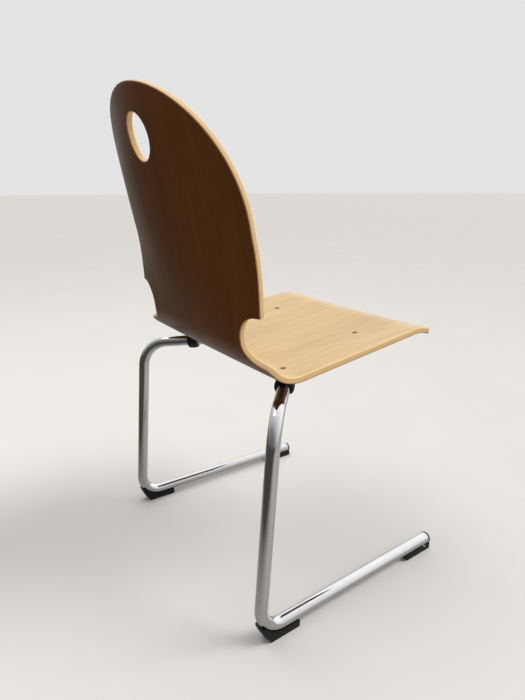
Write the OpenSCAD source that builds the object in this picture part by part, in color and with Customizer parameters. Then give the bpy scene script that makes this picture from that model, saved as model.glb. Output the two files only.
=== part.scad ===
// Stacking chair: one moulded plywood shell on a bent steel tube frame.
// The origin is on the floor under the middle of the chair. +Z is up and the sitter faces -Y.

/* [Overall] */
// Depth over everything, from the seat's front edge to the top of the back
overall_depth = 497; // [480:1:520]
// How far the tips of the front glides stand behind the seat's front edge
glide_setback = 6; // [0:1:20]
// Height of the seat's top face where its front edge starts to roll down
seat_front_h = 467; // [440:1:490]

/* [Seat] */
// Thickness of the plywood
ply_t = 11; // [9:0.5:13]
// Length of the seat from its front edge to the start of the bend
seat_len = 319; // [300:1:330]
// Length of the seat's straight part, from where the front edge starts to roll down
seat_flat_len = 270; // [255:1:290]
// Radius on the underside of the rolled front edge
front_roll_r = 90; // [60:1:120]
// Width of the seat along its front edge
seat_front_w = 410; // [390:1:430]
// Width of the seat at its rear corners
seat_rear_w = 444; // [432:1:460]
// Slope of the seat, down towards the rear, in degrees
seat_slope = 6.2; // [4:0.1:8]
// Radius of the two front corners
front_corner_r = 13; // [8:1:20]
// Radius of the two rear corners, next to the waist notches
rear_corner_r = 19; // [12:1:24]
// Depth of the dish pressed into the seat
dish = 7.5; // [0:0.5:10]
// Share of the dish's depth that is left at the front edge
dish_front_share = 0.45; // [0:0.05:1]

/* [Bend and back] */
// Outside radius of the bend between the seat and the back
bend_r = 78; // [70:1:90]
// Lean of the back from upright where the bend ends, in degrees
back_lean = 12.7; // [11:0.1:13.5]
// Lean of the back from upright at its top, in degrees
top_lean = 14.7; // [14:0.1:18]
// Width of the back
back_w = 427; // [420:1:430]
// Length of the straight-sided part of the back, above the bend
back_straight = 179; // [160:1:200]
// Length of the arched part of the back, along the shell
arch_len = 209; // [195:1:225]
// Power of the arch's outline, 2 for an ellipse
arch_power = 1.93; // [1.8:0.01:2.2]
// Sideways curve radius of the back at its waist
waist_curve_r = 720; // [600:10:900]
// Sideways curve radius of the back at its top
top_curve_r = 545; // [450:5:600]
// Radius of the waist notches
notch_r = 41; // [35:1:45]
// Distance along the shell from the start of the bend to the middle of the notches
notch_s = 118; // [112:1:122]
// Diameter of the hand hole
hole_d = 72; // [50:1:90]
// Distance along the shell from the top of the back to the middle of the hand hole
hole_from_top = 77; // [65:1:110]

/* [Frame] */
// Outside diameter of the frame tube
tube_d = 22; // [20:1:25]
// Wall thickness of the frame tube
tube_wall = 2; // [1.5:0.1:2.5]
// Outside diameter of the two cross tubes
cross_d = 18; // [14:1:20]
// Thickness of the glides under the tube
glide_t = 8.5; // [6:0.5:10]
// Sideways distance from the middle to a runner at its front end
runner_front_x = 240; // [230:1:246]
// Sideways distance from the middle to a runner at the foot bend
runner_rear_x = 250; // [246:1:256]
// Length of a runner from its front end to the corner of the foot bend
runner_len = 419; // [400:1:440]
// How far the leg's top corner stands forward of its foot corner
leg_rake = 32; // [20:1:45]
// Height of the leg's top corner
leg_top_z = 389; // [380:1:395]
// Sideways distance from the middle to the leg's top corner
leg_top_x = 247; // [242:1:252]
// Centreline radius of the foot bend
foot_bend_r = 42; // [36:1:60]
// Centreline radius of the bend at the top of the leg
top_bend_r = 62; // [50:1:66]
// Centreline radius of the bend from the diagonal to the under-seat arm
arm_bend_r = 50; // [40:1:52]
// Sideways distance from the middle to the arm at its rear corner
arm_rear_x = 143; // [138:1:148]
// Sideways distance from the middle to the arm at its front end
arm_front_x = 121; // [110:1:130]
// Drop from the underside of the seat to the middle of the arms
arm_drop = 24; // [23:0.5:26]
// Length of an arm from its rear corner to its front end
arm_len = 218; // [214:1:225]

/* [Fixings] */
// Nominal thread diameter of the seat screws
screw_d = 6; // [5:1:6]
// Diameter of the screw heads
screw_head_d = 11.5; // [10:0.5:13]
// Distance along the diagonal from the arm's corner to the rear screws
rear_screw_run = 31; // [31:0.5:34]
// Distance along the arm from its corner to the front screws
front_screw_run = 177; // [165:1:182]
// Wall of the plastic saddles round the tube
saddle_wall = 6; // [5:0.5:8]
// Length of the plastic saddles along the tube
saddle_len = 21.5; // [20:0.5:26]

/* [Hidden] */
$fn = 48;

LEFT = 1;
RIGHT = -1;
clearance = 0.1;        // gap between plastic and metal that fit together
tube_r = tube_d / 2;
cross_r = cross_d / 2;
runner_z = glide_t + tube_r;

// Lengths along the shell are measured on its outer face, from the start of the bend.
bend_len = bend_r * (90 - back_lean + seat_slope) * PI / 180;
arch_s = bend_len + back_straight;
top_s = arch_s + arch_len;
back_arc_r = (top_s - bend_len) * 180 / (PI * (top_lean - back_lean));
top_reach = bend_r * cos(back_lean) + back_arc_r * (cos(back_lean) - cos(top_lean));
bend_y = overall_depth / 2 - top_reach;
bend_z = seat_front_h - ply_t * cos(seat_slope) - seat_flat_len * sin(seat_slope)
       + bend_r * cos(seat_slope);
seat_y = bend_y - bend_r * sin(seat_slope);
seat_z = bend_z - bend_r * cos(seat_slope);

side_end_s = notch_s - notch_r - rear_corner_r;
notch_x = seat_rear_w / 2 - rear_corner_r;
dish_power = 3;         // the dish is flat in the middle and steepens towards the sides
dish_front_run = 127;   // length over which it deepens behind the front edge
dish_rear_run = 70;     // length over which it fades out into the bend
dish_end_s = 60;
curl_start_s = 35;      // the back's sideways curve starts here in the bend
curl_end_s = 272;       // and has its full strength here
tube_sides = 32;        // facets round the bent tube
bend_steps = 12;        // and along each of its bends
columns = 14;           // facets across the shell
seat_rows = 16;
back_rows = 6;
arch_rows = 14;
tip_half_w = 5;         // half width of the last row at the top of the arch

function clamp01(x) = max(0, min(1, x));
function smooth(x) = let (t = clamp01(x)) t * t * (3 - 2 * t);
function mix(a, b, t) = a + (b - a) * t;
function unit(v) = v / norm(v);

// ---------- shell surface ----------

// Position [y, z] and heading above horizontal of the outer face's middle line
function profile(s) =
    s < -seat_flat_len ?
        let (start = profile(-seat_flat_len),
             a = (-seat_flat_len - s) / front_roll_r * 180 / PI - seat_slope)
        [start[0] - front_roll_r * (sin(seat_slope) + sin(a)),
         start[1] - front_roll_r * (cos(seat_slope) - cos(a)), a]
    : s <= 0 ? [seat_y + s * cos(seat_slope), seat_z - s * sin(seat_slope), -seat_slope]
    : s <= bend_len ?
        let (a = s / bend_r * 180 / PI - seat_slope)
        [bend_y + bend_r * sin(a), bend_z - bend_r * cos(a), a]
    : let (lean = mix(back_lean, top_lean, (s - bend_len) / (top_s - bend_len)))
        [bend_y + bend_r * cos(back_lean) + back_arc_r * (cos(back_lean) - cos(lean)),
         bend_z - bend_r * sin(back_lean) + back_arc_r * (sin(lean) - sin(back_lean)),
         90 - lean];

function side_half_w(s) =
    mix(seat_front_w, seat_rear_w, clamp01((s + seat_len) / (side_end_s + seat_len))) / 2;

function curl(s) = smooth((s - curl_start_s) / (curl_end_s - curl_start_s))
    * mix(1 / waist_curve_r, 1 / top_curve_r, clamp01((s - curl_end_s) / (top_s - curl_end_s)));

function dish_at(s) = dish * mix(dish_front_share, 1, smooth((s + seat_len) / dish_front_run))
    * smooth((dish_end_s - s) / dish_rear_run);

// Height of the outer face above its middle line's ruled surface, and its sideways slope
function rise(s, x) =
    curl(s) * x * x / 2 - dish_at(s) * (1 - pow(clamp01(abs(x) / side_half_w(s)), dish_power));
function cross_slope(s, x) =
    curl(s) * x + dish_at(s) * dish_power * sign(x)
    * pow(clamp01(abs(x) / side_half_w(s)), dish_power - 1) / side_half_w(s);

// Point of the shell at length s, sideways x, and height h above the outer face
function shell_point(s, x, h) =
    let (p = profile(s), up = [0, -sin(p[2]), cos(p[2])],
         n = unit([-cross_slope(s, x), up[1], up[2]]))
    [x, p[0], p[1]] + up * rise(s, x) + n * h;

// Outline of the shell as rows of [length along the shell, half width]
OUTLINE = concat(
    [for (a = [0 : 22.5 : 67.5])
        [-seat_len + front_corner_r * (1 - cos(a)),
         seat_front_w / 2 - front_corner_r * (1 - sin(a))]],
    [for (i = [0 : seat_rows])
        let (s = mix(-seat_len + front_corner_r, side_end_s, i / seat_rows))
        [s, side_half_w(s)]],
    [for (a = [15 : 15 : 75])
        [side_end_s + rear_corner_r * sin(a), notch_x + rear_corner_r * cos(a)]],
    [for (a = [0 : 10 : 180]) [notch_s - notch_r * cos(a), notch_x - notch_r * sin(a)]],
    [for (i = [0 : back_rows])
        [mix(notch_s + notch_r + 0.5, arch_s, i / back_rows), back_w / 2]],
    [for (i = [1 : arch_rows])
        let (a = 86 * i / arch_rows)
        [arch_s + arch_len * pow(sin(a), 2 / arch_power),
         back_w / 2 * pow(cos(a), 2 / arch_power)]],
    [[top_s, tip_half_w]]);

module shell_blank() {
    rows = len(OUTLINE);
    wide = columns + 1;
    points = [for (h = [0, ply_t], row = OUTLINE, j = [0 : columns])
        shell_point(row[0], row[1] * (2 * j / columns - 1), h)];
    function outer(i, j) = i * wide + j;
    function inner(i, j) = (rows + i) * wide + j;
    last = rows - 1;
    faces = concat(
        [for (i = [0 : last - 1], j = [0 : columns - 1], half = [0, 1])
            half ? [outer(i, j), outer(i, j + 1), outer(i + 1, j + 1)]
                 : [outer(i, j), outer(i + 1, j + 1), outer(i + 1, j)]],
        [for (i = [0 : last - 1], j = [0 : columns - 1], half = [0, 1])
            half ? [inner(i, j), inner(i + 1, j), inner(i + 1, j + 1)]
                 : [inner(i, j), inner(i + 1, j + 1), inner(i, j + 1)]],
        [for (i = [0 : last - 1], half = [0, 1])
            half ? [outer(i, columns), inner(i, columns), inner(i + 1, columns)]
                 : [outer(i, columns), inner(i + 1, columns), outer(i + 1, columns)]],
        [for (i = [0 : last - 1], half = [0, 1])
            half ? [outer(i, 0), outer(i + 1, 0), inner(i + 1, 0)]
                 : [outer(i, 0), inner(i + 1, 0), inner(i, 0)]],
        [for (j = [0 : columns - 1], half = [0, 1])
            half ? [outer(0, j), inner(0, j), inner(0, j + 1)]
                 : [outer(0, j), inner(0, j + 1), outer(0, j + 1)]],
        [for (j = [0 : columns - 1], half = [0, 1])
            half ? [outer(last, j), outer(last, j + 1), inner(last, j + 1)]
                 : [outer(last, j), inner(last, j + 1), inner(last, j)]]);
    polyhedron(points, faces, convexity = 6);
}

// ---------- frame route ----------

// Point given sideways, along the seat and above the seat's outer face
function seat_point(x, v, h) =
    [x, seat_y + v * cos(seat_slope) + h * sin(seat_slope),
     seat_z - v * sin(seat_slope) + h * cos(seat_slope)];

front_tip_y = -overall_depth / 2 + glide_setback;
plug_flange = 3;        // thickness of the plastic at the runner's open end
arm_corner_v = -21;     // the arms' rear corner, along the seat from the start of the bend
runner_front_y = front_tip_y + plug_flange;
foot_y = runner_front_y + runner_len;

runner_end = [runner_front_x, runner_front_y, runner_z];
foot_corner = [runner_rear_x, foot_y, runner_z];
leg_corner = [leg_top_x, foot_y - leg_rake, leg_top_z];
arm_corner = seat_point(arm_rear_x, arm_corner_v, -arm_drop);
arm_end = seat_point(arm_front_x, arm_corner_v - arm_len, -arm_drop);
ROUTE = [runner_end, foot_corner, leg_corner, arm_corner, arm_end];
BENDS = [0, foot_bend_r, top_bend_r, arm_bend_r, 0];

arm_dir = unit(arm_end - arm_corner);
diagonal_dir = unit(leg_corner - arm_corner);
runner_dir = unit(foot_corner - runner_end);
seat_up = [0, sin(seat_slope), cos(seat_slope)];

front_screw_at = arm_corner + arm_dir * front_screw_run;
rear_screw_at = arm_corner + diagonal_dir * rear_screw_run;

// Moves children so that their Z axis follows direction z and their X axis is near x
module aligned(origin, z, x) {
    k = unit(z);
    i = unit(x - k * (x * k));
    j = cross(k, i);
    multmatrix([[i[0], j[0], k[0], origin[0]],
                [i[1], j[1], k[1], origin[1]],
                [i[2], j[2], k[2], origin[2]],
                [0, 0, 0, 1]]) children();
}

module side(s) {
    if (s == LEFT) children();
    else mirror([1, 0, 0]) children();
}

// Each straight's direction, and at corner i the side it bends towards, its angle and the
// straight length that the bend uses
function straight_dir(i) = unit(ROUTE[i + 1] - ROUTE[i]);
function inward(i) =
    let (before = straight_dir(i - 1), after = straight_dir(i))
    unit(after - before * (before * after));
function turn(i) = acos(straight_dir(i - 1) * straight_dir(i));
function tangent(i) = BENDS[i] * tan(turn(i) / 2);

function spin(v, axis, a) =
    v * cos(a) + cross(axis, v) * sin(a) + axis * (axis * v) * (1 - cos(a));

// Sideways axis carried along the tube without twisting it, after bend i
function carried_x(i) = i == 0 ? inward(1)
    : spin(carried_x(i - 1), cross(straight_dir(i - 1), inward(i)), turn(i));

// Rings along the route as [centre, direction, sideways axis]
RINGS = concat(
    [[ROUTE[0], straight_dir(0), carried_x(0)]],
    [for (i = [1 : len(ROUTE) - 2], k = [0 : bend_steps])
        let (d = straight_dir(i - 1), w = inward(i), a = turn(i) * k / bend_steps)
        [ROUTE[i] - d * tangent(i) + (w * (1 - cos(a)) + d * sin(a)) * BENDS[i],
         d * cos(a) + w * sin(a), spin(carried_x(i - 1), cross(d, w), a)]],
    [[arm_end, arm_dir, carried_x(len(ROUTE) - 2)]]);

function circle_points(ring, r) =
    [for (k = [0 : tube_sides - 1])
        let (a = 360 * k / tube_sides)
        ring[0] + (ring[2] * cos(a) + cross(ring[1], ring[2]) * sin(a)) * r];

// Bent tube with an open bore
module bent_tube(r_out, r_in) {
    n = tube_sides;
    rings = len(RINGS);
    points = concat([for (ring = RINGS) each circle_points(ring, r_out)],
                    [for (ring = RINGS) each circle_points(ring, r_in)]);
    function outer(i, k) = i * n + k % n;
    function inner(i, k) = (rings + i) * n + k % n;
    last = rings - 1;
    faces = concat(
        [for (i = [0 : last - 1], k = [0 : n - 1], half = [0, 1])
            half ? [outer(i, k), outer(i + 1, k), outer(i + 1, k + 1)]
                 : [outer(i, k), outer(i + 1, k + 1), outer(i, k + 1)]],
        [for (i = [0 : last - 1], k = [0 : n - 1], half = [0, 1])
            half ? [inner(i, k), inner(i + 1, k + 1), inner(i + 1, k)]
                 : [inner(i, k), inner(i, k + 1), inner(i + 1, k + 1)]],
        [for (k = [0 : n - 1], half = [0, 1])
            half ? [outer(0, k), outer(0, k + 1), inner(0, k + 1)]
                 : [outer(0, k), inner(0, k + 1), inner(0, k)]],
        [for (k = [0 : n - 1], half = [0, 1])
            half ? [outer(last, k), inner(last, k), inner(last, k + 1)]
                 : [outer(last, k), inner(last, k + 1), outer(last, k + 1)]]);
    polyhedron(points, faces, convexity = 8);
}

// Solid rod along the first straights and the foot bend, for the groove in the rear glide
module foot_rod(r) {
    d = straight_dir(0);
    w = inward(1);
    centre = ROUTE[1] - d * tangent(1) + w * BENDS[1];
    aligned(ROUTE[0], d, w) cylinder(r = r, h = norm(ROUTE[1] - ROUTE[0]) - tangent(1));
    aligned(centre, cross(d, w), -w)
        rotate_extrude(angle = turn(1)) translate([BENDS[1], 0]) circle(r = r);
    aligned(centre + (d * sin(turn(1)) - w * cos(turn(1))) * BENDS[1], straight_dir(1), w)
        cylinder(r = r, h = 60);
}

// ---------- fixings ----------

nut_body_d = screw_d + 3;
nut_flange_d = screw_d + 7;
nut_flange_t = 1.4;
nut_len = 12;
head_h = 3.4;
head_sink = 0.8;        // the head sits this far below the seat's top face
screw_gap = 0.6;        // the holes for a screw and its head are this much wider
peg_d = 5;
pin_d = 4.5;
pin_angle = 40;         // the pin comes in this far below horizontal
pin_len = 10.3;
pin_from_end = 14;

// Each seat fixing: the tube point below it, the tube's direction there, and its shell length s
function fixing_dir(front) = front ? arm_dir : diagonal_dir;
function fixing_at(front) = front ? front_screw_at : rear_screw_at;
function fixing_s(front) =
    let (p = fixing_at(front)) (p[1] - seat_y) * cos(seat_slope) - (p[2] - seat_z) * sin(seat_slope);

// Height of the shell's outer face over the tube's middle line at a fixing
function fixing_h(front) =
    let (p = fixing_at(front))
    -((p[1] - seat_y) * sin(seat_slope) + (p[2] - seat_z) * cos(seat_slope))
    + rise(fixing_s(front), p[0]);

// Children stand on the tube's middle line, with Z towards the seat and X along the tube
module at_fixing(front, s) {
    d = fixing_dir(front);
    side(s) aligned(fixing_at(front), seat_up - d * (seat_up * d), d) children();
}

module screw_hole(front, s) {
    h = fixing_h(front);
    at_fixing(front, s) {
        cylinder(d = screw_d + screw_gap, h = h + 2 * ply_t);
        translate([0, 0, h + ply_t - head_sink - head_h])
            cylinder(d1 = screw_d + screw_gap, d2 = screw_head_d + screw_gap, h = head_h + 0.01);
        translate([0, 0, h + ply_t - head_sink]) cylinder(d = screw_head_d + screw_gap, h = ply_t);
    }
}

module seat_screw(front, s) {
    h = fixing_h(front);
    top = h + ply_t - head_sink;
    socket_d = 4.6;     // across the corners of the hexagon socket
    color("dimgray") at_fixing(front, s) difference() {
        union() {
            translate([0, 0, top - head_h])
                cylinder(d1 = screw_d - 0.1, d2 = screw_head_d, h = head_h);
            translate([0, 0, tube_r - nut_len + 2])
                cylinder(d = screw_d - 0.1, h = top - head_h - tube_r + nut_len - 2);
        }
        translate([0, 0, top - 2.4]) cylinder(d = socket_d, h = 3, $fn = 6);
    }
}

module rivet_nut(front, s) {
    color("silver") at_fixing(front, s) difference() {
        union() {
            translate([0, 0, tube_r]) cylinder(d = nut_flange_d, h = nut_flange_t);
            translate([0, 0, tube_r - nut_len]) cylinder(d = nut_body_d, h = nut_len);
        }
        translate([0, 0, tube_r - nut_len - 1]) cylinder(d = screw_d, h = nut_len + 4);
    }
}

// Barrel-shaped plastic clip round the tube with a block that reaches up to the shell
saddle_end_wall = 1.3;  // wall left at the barrel's ends
saddle_round = 6;       // its ends round off over this length
saddle_shift = 1.5;     // its middle lies this far inwards of the rear screws
block_len = 14;
block_w = 24;
slot_w = 9;             // gap through which the clip snaps over the tube
slot_turn = 25;         // the gap faces this far forward of straight down

module saddle_barrel() {
    end_r = tube_r + saddle_end_wall;
    half = [for (a = [0 : 22.5 : 90])
        [end_r + (saddle_wall - saddle_end_wall) * cos(a),
         saddle_len / 2 - saddle_round * (1 - sin(a))]];
    rotate([0, 90, 0]) rotate_extrude()
        polygon(concat([[tube_r / 2, -saddle_len / 2]],
                       [for (i = [len(half) - 1 : -1 : 0]) [half[i][0], -half[i][1]]],
                       half,
                       [[tube_r / 2, saddle_len / 2]]));
}

module saddle(front, s) {
    h = fixing_h(front);
    lateral = atan(cross_slope(fixing_s(front), fixing_at(front)[0]));
    color([0.08, 0.08, 0.08]) difference() {
        at_fixing(front, s) translate([front ? 0 : -saddle_shift, 0, 0]) {
            saddle_barrel();
            translate([-block_len / 2, -block_w / 2, 0]) cube([block_len, block_w, h + 2]);
        }
        at_fixing(front, s) {
            rotate([0, 90, 0]) cylinder(r = tube_r + clearance, h = 2 * saddle_len, center = true);
            cylinder(d = screw_d + screw_gap, h = h + 5);
            cylinder(d = nut_flange_d + 0.4, h = tube_r + nut_flange_t + 0.2);
            rotate([-slot_turn, 0, 0]) translate([-saddle_len, -slot_w / 2, -2 * tube_r])
                cube([2 * saddle_len, slot_w, 2 * tube_r]);
        }
        side(s) translate(fixing_at(front)) rotate([-seat_slope, 0, 0])
            translate([0, 0, h - clearance]) rotate([0, -lateral, 0])
                translate([-30, -30, 0]) cube([60, 60, 20]);
    }
}

// ---------- sub-parts ----------

module seat_shell() {
    hole_s = top_s - hole_from_top;
    p = profile(hole_s);
    color("burlywood") difference() {
        shell_blank();
        translate([0, p[0], p[1]]) rotate([p[2], 0, 0])
            cylinder(d = hole_d, h = 6 * ply_t, center = true, $fn = 72);
        for (front = [true, false], s = [LEFT, RIGHT]) screw_hole(front, s);
    }
}

module side_tube(s) {
    color("silver") difference() {
        side(s) bent_tube(tube_r, tube_r - tube_wall);
        for (front = [true, false]) at_fixing(front, s) cylinder(d = nut_body_d, h = 2 * tube_r);
        at_rear_peg(s) cylinder(d = peg_d, h = tube_r + 2);
        at_front_pin(s) cylinder(d = pin_d, h = 2 * tube_r);
    }
}

// Straight tube between the two arms, with ends shaped to fit against them
cross_wall = 1.5;
rear_cross_run = 35;    // distances along the arm from its corner
front_cross_run = arm_len - 16;

module cross_tube(run) {
    a = arm_corner + arm_dir * run;
    color("silver") difference() {
        translate(a) rotate([0, -90, 0]) cylinder(r = cross_r, h = 2 * a[0]);
        translate([a[0] + 1, a[1], a[2]]) rotate([0, -90, 0])
            cylinder(r = cross_r - cross_wall, h = 2 * a[0] + 2);
        for (s = [LEFT, RIGHT]) side(s)
            aligned(a - arm_dir * 3 * tube_r, arm_dir, [1, 0, 0])
                cylinder(r = tube_r, h = 6 * tube_r);
    }
}

module arm_plug(s) {
    body_r = tube_r - tube_wall - clearance;
    color([0.08, 0.08, 0.08]) side(s) aligned(arm_end, arm_dir, [1, 0, 0]) {
        cylinder(r = tube_r, h = plug_flange - 1);
        translate([0, 0, plug_flange - 1]) cylinder(r1 = tube_r, r2 = tube_r - 1, h = 1);
        translate([0, 0, -16]) cylinder(r = body_r, h = 16);
    }
}

// Rear glide: a block that follows the underside of the foot bend
glide_w = 23;
rear_glide_front_y = foot_y - 76;
rear_glide_rear_y = foot_y - 16;
lip_z = 31;             // top of the lip behind the foot bend
lip_t = 3.5;            // how far the lip covers the tube's sides, in from its outer face
cradle = 4;             // the glides reach this far up the side of the tube
rear_peg_y = foot_y - 62;

module at_rear_peg(s) {
    x = mix(runner_front_x, runner_rear_x, (rear_peg_y - runner_front_y) / runner_len);
    side(s) translate([x, rear_peg_y, 0]) children();
}

module rear_glide(s) {
    bend_start = tangent(1);
    bend_y0 = foot_y - bend_start;
    color([0.08, 0.08, 0.08]) difference() {
        side(s) translate([mix(runner_front_x, runner_rear_x, -runner_front_y / runner_len), 0, 0])
            rotate([0, 0, -atan((runner_rear_x - runner_front_x) / runner_len)])
                rotate([90, 0, 90]) linear_extrude(glide_w, center = true) difference() {
                    polygon([[rear_glide_front_y + 2, 0], [rear_glide_rear_y, 0],
                             [rear_glide_rear_y + 8, 13], [foot_y - 4, 17], [foot_y + 1.5, lip_z],
                             [foot_y - 2, lip_z + 2], [foot_y - 14, lip_z],
                             [rear_glide_front_y, runner_z], [rear_glide_front_y, 2]]);
                    translate([bend_y0, runner_z + foot_bend_r])
                        circle(r = foot_bend_r + tube_r - lip_t);
                    translate([bend_y0 - 100, glide_t + cradle]) square([100, 40]);
                }
        side(s) foot_rod(tube_r + clearance);
        at_rear_peg(s) translate([0, 0, 2]) cylinder(d = peg_d + 0.2, h = 20);
        at_rear_peg(s) translate([0, 0, -1]) cylinder(d = 2 * peg_d + 0.4, h = 4);
    }
}

module rear_glide_peg(s) {
    color("silver") at_rear_peg(s) {
        translate([0, 0, 1]) cylinder(d = 2 * peg_d, h = 2);
        translate([0, 0, 2]) cylinder(d = peg_d, h = glide_t + tube_wall + 3);
    }
}

// Front glide: a pad under the end of the runner, in one piece with its end plug
front_glide_len = 71;

module at_front_pin(s) {
    p = runner_end + runner_dir * pin_from_end;
    side(s) translate(p) rotate([0, 90 + pin_angle, 0]) children();
}

module front_glide(s) {
    body_r = tube_r - tube_wall - clearance;
    toe = atan((runner_rear_x - runner_front_x) / runner_len);
    color([0.08, 0.08, 0.08]) difference() {
        side(s) {
            difference() {
                union() {
                    aligned(runner_end - runner_dir * plug_flange, runner_dir, [1, 0, 0])
                        cylinder(r = tube_r + 0.4, h = plug_flange);
                    translate([runner_front_x, runner_front_y, 0]) rotate([0, 0, -toe])
                        rotate([90, 0, 90]) linear_extrude(glide_w - 1, center = true)
                            polygon([[-plug_flange + 1, 0], [front_glide_len - 6, 0],
                                     [front_glide_len, glide_t - 2],
                                     [front_glide_len, glide_t + 1],
                                     [front_glide_len - 4, glide_t + cradle],
                                     [-plug_flange, glide_t + cradle],
                                     [-plug_flange, 1]]);
                }
                aligned(runner_end, runner_dir, [1, 0, 0])
                    cylinder(r = tube_r + clearance, h = front_glide_len + 5);
            }
            aligned(runner_end - runner_dir * 0.5, runner_dir, [1, 0, 0])
                cylinder(r = body_r, h = 18.5);
        }
        at_front_pin(s) cylinder(d = pin_d + 0.1, h = 30);
    }
}

module front_glide_pin(s) {
    color("silver") at_front_pin(s) {
        translate([0, 0, 5]) cylinder(d = pin_d, h = pin_len);
    }
}

seat_shell();
side_tube(LEFT);  // side_tube_left
side_tube(RIGHT);  // side_tube_right
cross_tube(front_cross_run);  // front_cross_tube
cross_tube(rear_cross_run);  // rear_cross_tube
saddle(false, LEFT);  // rear_saddle_left
saddle(false, RIGHT);  // rear_saddle_right
saddle(true, LEFT);  // front_saddle_left
saddle(true, RIGHT);  // front_saddle_right
seat_screw(false, LEFT);  // rear_screw_left
seat_screw(false, RIGHT);  // rear_screw_right
seat_screw(true, LEFT);  // front_screw_left
seat_screw(true, RIGHT);  // front_screw_right
rivet_nut(false, LEFT);  // rear_rivet_nut_left
rivet_nut(false, RIGHT);  // rear_rivet_nut_right
rivet_nut(true, LEFT);  // front_rivet_nut_left
rivet_nut(true, RIGHT);  // front_rivet_nut_right
arm_plug(LEFT);  // arm_plug_left
arm_plug(RIGHT);  // arm_plug_right
rear_glide(LEFT);  // rear_glide_left
rear_glide(RIGHT);  // rear_glide_right
rear_glide_peg(LEFT);  // rear_glide_peg_left
rear_glide_peg(RIGHT);  // rear_glide_peg_right
front_glide(LEFT);  // front_glide_left
front_glide(RIGHT);  // front_glide_right
front_glide_pin(LEFT);  // front_glide_pin_left
front_glide_pin(RIGHT);  // front_glide_pin_right
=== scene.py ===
"""Stacking chair: the looks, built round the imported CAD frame.

Lengths are in millimetres up to make_object, which makes metres of them. Lights and camera are
in metres, as are the lengths inside materials.
"""

import math

import bmesh
import bpy
import numpy as np
from mathutils import Matrix, Vector
from mathutils.geometry import delaunay_2d_cdt
from mathutils.kdtree import KDTree


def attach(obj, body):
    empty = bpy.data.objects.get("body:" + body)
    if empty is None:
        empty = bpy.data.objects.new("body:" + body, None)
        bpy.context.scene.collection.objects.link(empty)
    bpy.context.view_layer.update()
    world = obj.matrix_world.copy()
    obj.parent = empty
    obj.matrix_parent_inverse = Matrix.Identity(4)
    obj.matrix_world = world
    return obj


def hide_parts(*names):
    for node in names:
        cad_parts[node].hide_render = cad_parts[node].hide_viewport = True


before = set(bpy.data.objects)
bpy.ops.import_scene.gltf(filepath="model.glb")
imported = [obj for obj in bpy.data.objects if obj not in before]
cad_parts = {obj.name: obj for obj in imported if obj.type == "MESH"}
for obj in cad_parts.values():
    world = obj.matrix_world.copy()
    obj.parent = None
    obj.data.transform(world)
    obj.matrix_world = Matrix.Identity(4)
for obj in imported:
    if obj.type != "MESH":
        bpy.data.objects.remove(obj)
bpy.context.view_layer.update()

MM = 0.001
LEFT, RIGHT = 1, -1
SIDES = {"left": LEFT, "right": RIGHT}

# Shell
PLY_T = 11.0
SEAT_FRONT_H = 467.0
SEAT_LEN = 319.0
SEAT_FLAT_LEN = 270.0
FRONT_ROLL_R = 90.0
SEAT_FRONT_W = 410.0
SEAT_REAR_W = 444.0
SEAT_SLOPE = math.radians(6.2)
FRONT_CORNER_R = 13.0
REAR_CORNER_R = 19.0
DISH = 7.5
DISH_POWER = 3
DISH_FRONT_SHARE = 0.45
DISH_FRONT_RUN = 127.0
DISH_REAR_RUN = 70.0
DISH_END_S = 60.0
BEND_R = 78.0
BACK_LEAN = math.radians(12.7)
TOP_LEAN = math.radians(14.7)
BACK_W = 427.0
BACK_STRAIGHT = 179.0
ARCH_LEN = 209.0
ARCH_POWER = 1.93
CURL_START_S = 35.0
CURL_END_S = 272.0
WAIST_CURVE_R = 720.0
TOP_CURVE_R = 545.0
NOTCH_R = 41.0
NOTCH_S = 118.0
HOLE_R = 36.0
HOLE_FROM_TOP = 77.0
OVERALL_DEPTH = 497.0

# Frame
TUBE_R = 11.0
TUBE_WALL = 2.0
CROSS_R = 9.0
GLIDE_T = 8.5
GLIDE_SETBACK = 6.0
RUNNER_FRONT_X = 240.0
RUNNER_REAR_X = 250.0
RUNNER_LEN = 419.0
LEG_RAKE = 32.0
LEG_TOP_X = 247.0
LEG_TOP_Z = 389.0
BENDS = [0.0, 42.0, 62.0, 50.0, 0.0]
ARM_REAR_X = 143.0
ARM_FRONT_X = 121.0
ARM_CORNER_V = -21.0
ARM_DROP = 24.0
ARM_LEN = 218.0
PLUG_FLANGE = 3.0
REAR_CROSS_RUN = 35.0
FRONT_CROSS_RUN = ARM_LEN - 16.0

# Fixings
SCREW_HEAD_R = 5.75
SCREW_R = 3.0
HEAD_SINK = 0.8
HEAD_H = 3.4
REAR_SCREW_RUN = 31.0
FRONT_SCREW_RUN = 177.0
SCREW_GAP = 0.3         # room round the head and the shank
SINK_SIDES = 32

# Plywood edges
FACE_ARRIS = 2.6        # rounding on the face
BACK_ARRIS = 1.2        # rounding on the back
ARRIS_STEPS = 4
VENEERS = 9

# Mesh fineness
GRID = 5.0              # spacing of the shell's inner points
GRID_HALF_W = 230.0
GRID_CLEAR = 0.6 * GRID  # inner points nearer than this to a border point are dropped
RIM_STEP = 3.0          # spacing of points round the shell's outline
ARCH_STEPS = 120
MIN_STEP = 0.35         # outline points nearer than this to the last one are dropped
HOLE_SIDES = 96
TUBE_SIDES = 64
BEND_STEPS = 28
TUBE_END_ROUND = 0.5

# Weld beads
BEAD_R = 1.6
BEAD_SWELL = 0.12       # how much a bead's radius varies
BEAD_STEPS = 48
BEAD_SIDES = 10

# Camera
CAMERA_AT = Vector((-0.8206, 0.5575, 0.7220))
CAMERA_YAW = 0.9752     # from straight towards the front, turned to the sitter's left
CAMERA_PITCH = 0.3058   # below the horizon
CAMERA_ROLL = -0.0053
CAMERA_LENS = 27.17
SENSOR = 36.0

# Light
WINDOW_SIDE = Vector((0.25, -0.85, 0.46)).normalized()
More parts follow.
